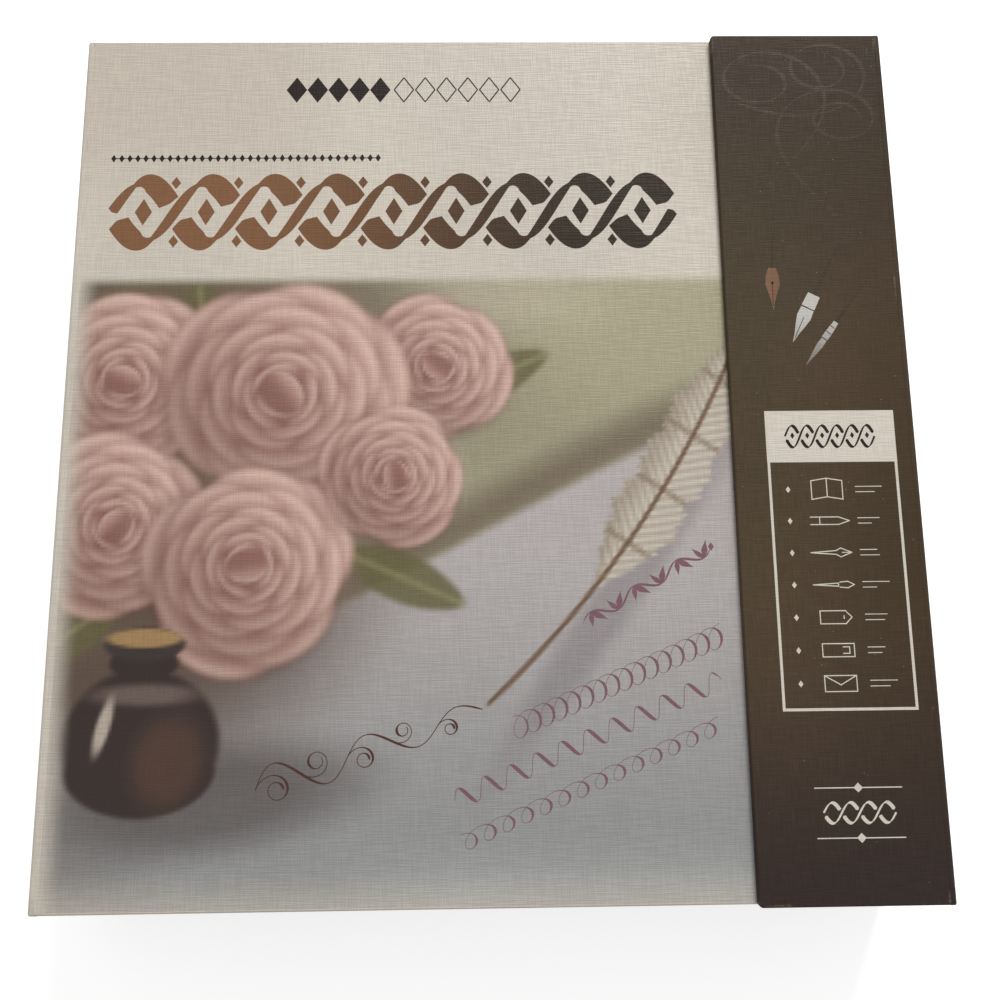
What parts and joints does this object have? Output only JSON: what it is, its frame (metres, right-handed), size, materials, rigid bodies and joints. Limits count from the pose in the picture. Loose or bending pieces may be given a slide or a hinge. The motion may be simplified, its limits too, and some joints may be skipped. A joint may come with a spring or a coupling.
{
  "type": "calligraphy set box",
  "caption": "Rigid paper-covered box with a wide front cover, a narrow magnetic flap that laps over it, and a formed insert that holds pens, inks, paints, cards and tags.",
  "frame": {"origin": "middle of the underside of the back panel, the box lying on its back", "axes": "+X from the cover's hinge towards the flap's hinge, +Y from foot to head, +Z from the back towards the front cover"},
  "size_m": [0.288, 0.3, 0.05],
  "materials": {
    "greyboard": "raw greyboard",
    "dark_covering": "linen-embossed dark brown covering paper, satin",
    "light_covering": "linen-embossed off-white covering paper, satin",
    "lining_sheet": "smooth cream lining paper",
    "corner_tape": "gummed kraft tape",
    "disc_steel": "plain steel",
    "magnet": "nickel-plated magnet",
    "formed_sheet": "dark brown vacuum-formed sheet, slight sheen",
    "book_cover_card": "printed cover card, satin",
    "book_paper": "uncoated paper",
    "staple_wire": "bright wire",
    "envelope_paper": "laid cream paper",
    "card_stock": "smooth white card",
    "gift_tag_card": "kraft card",
    "bottle_tag_card": "cream card",
    "pen_lacquer": "black gloss plastic",
    "pen_grip": "black satin plastic",
    "feed_plastic": "black plastic",
    "nib_steel": "polished steel",
    "clip_steel": "gold-coloured plate",
    "ink_shell": "translucent plastic full of blue-black ink",
    "holder_wood": "stained and waxed wood",
    "ferrule_metal": "polished brass",
    "copper_nib": "copper-coloured pressed steel",
    "brush_lacquer": "dark red lacquered wood",
    "bristle": "brown hair",
    "pot_plastic": "white moulded plastic",
    "paint": "water-based paint in six colours",
    "lid_plastic": "white moulded plastic"
  },
  "bodies": {
    "case": {"back_board": "greyboard", "back_covering": "dark_covering", "book_cover": "book_cover_card", "book_pages": "book_paper", "book_staples": "staple_wire", "bottle_tags": "bottle_tag_card", "broad_pen_barrel": "pen_lacquer", "broad_pen_cartridge": "ink_shell", "broad_pen_feed": "feed_plastic", "broad_pen_nib": "nib_steel", "broad_pen_section": "pen_grip", "brush_ferrule": "ferrule_metal", "brush_handle": "brush_lacquer", "brush_tuft": "bristle", "cover_hinge_paper": "light_covering", "dip_pen_ferrule": "ferrule_metal", "dip_pen_holder": "holder_wood", "dip_pen_nib": "copper_nib", "envelopes": "envelope_paper", "fine_pen_barrel": "pen_lacquer", "fine_pen_cartridge": "ink_shell", "fine_pen_feed": "feed_plastic", "fine_pen_nib": "nib_steel", "fine_pen_section": "pen_grip", "flap_hinge_paper": "dark_covering", "gift_tags": "gift_tag_card", "ink_cartridges": "ink_shell", "insert_tray": "formed_sheet", "note_cards": "card_stock", "paint_pots": "pot_plastic", "paints": "paint", "side_board": "greyboard", "side_covering": "dark_covering", "spine_board": "greyboard", "spine_covering": "light_covering", "tray_blank": "greyboard", "tray_corner_tape": "corner_tape", "tray_covering": "lining_sheet", "tray_floor_lining": "lining_sheet"},
    "cover": {"cover_board": "greyboard", "cover_covering": "light_covering", "cover_lining": "lining_sheet", "cover_steel_discs": "disc_steel"},
    "flap": {"flap_board": "greyboard", "flap_covering": "dark_covering", "flap_lining": "lining_sheet", "flap_magnets": "magnet"},
    "fine_pen_cap": {"fine_pen_cap": "pen_lacquer", "fine_pen_clip": "clip_steel"},
    "broad_pen_cap": {"broad_pen_cap": "pen_lacquer", "broad_pen_clip": "clip_steel"},
    "paint_lid_1": {"paint_lid_1": "lid_plastic"},
    "paint_lid_2": {"paint_lid_2": "lid_plastic"},
    "paint_lid_3": {"paint_lid_3": "lid_plastic"},
    "paint_lid_4": {"paint_lid_4": "lid_plastic"},
    "paint_lid_5": {"paint_lid_5": "lid_plastic"},
    "paint_lid_6": {"paint_lid_6": "lid_plastic"}
  },
  "joints": [
    {"name": "cover_hinge", "type": "hinge", "parent": "case", "child": "cover", "pos_m": [-0.144, 0, 0.0476], "axis": [0, -1, 0], "range_deg": [0, 189], "deforming": ["cover_hinge_paper"]},
    {"name": "flap_hinge", "type": "hinge", "parent": "case", "child": "flap", "pos_m": [0.144, 0, 0.05], "axis": [0, 1, 0], "range_deg": [0, 230], "deforming": ["flap_hinge_paper"]},
    {"name": "fine_pen_cap_slide", "type": "slide", "parent": "case", "child": "fine_pen_cap", "axis": [0, 1, 0], "range_m": [0, 0.044]},
    {"name": "broad_pen_cap_slide", "type": "slide", "parent": "case", "child": "broad_pen_cap", "axis": [0, 1, 0], "range_m": [0, 0.044]},
    {"name": "paint_lid_1_hinge", "type": "hinge", "parent": "case", "child": "paint_lid_1", "pos_m": [-0.1113, -0.08857, 0.02175], "axis": [-1, 0, 0], "range_deg": [0, 95]},
    {"name": "paint_lid_2_hinge", "type": "hinge", "parent": "case", "child": "paint_lid_2", "pos_m": [-0.0893, -0.08857, 0.02175], "axis": [-1, 0, 0], "range_deg": [0, 95]},
    {"name": "paint_lid_3_hinge", "type": "hinge", "parent": "case", "child": "paint_lid_3", "pos_m": [-0.0673, -0.08857, 0.02175], "axis": [-1, 0, 0], "range_deg": [0, 95]},
    {"name": "paint_lid_4_hinge", "type": "hinge", "parent": "case", "child": "paint_lid_4", "pos_m": [-0.0453, -0.08857, 0.02175], "axis": [-1, 0, 0], "range_deg": [0, 95]},
    {"name": "paint_lid_5_hinge", "type": "hinge", "parent": "case", "child": "paint_lid_5", "pos_m": [-0.0233, -0.08857, 0.02175], "axis": [-1, 0, 0], "range_deg": [0, 95]},
    {"name": "paint_lid_6_hinge", "type": "hinge", "parent": "case", "child": "paint_lid_6", "pos_m": [-0.0013, -0.08857, 0.02175], "axis": [-1, 0, 0], "range_deg": [0, 95]}
  ]
}
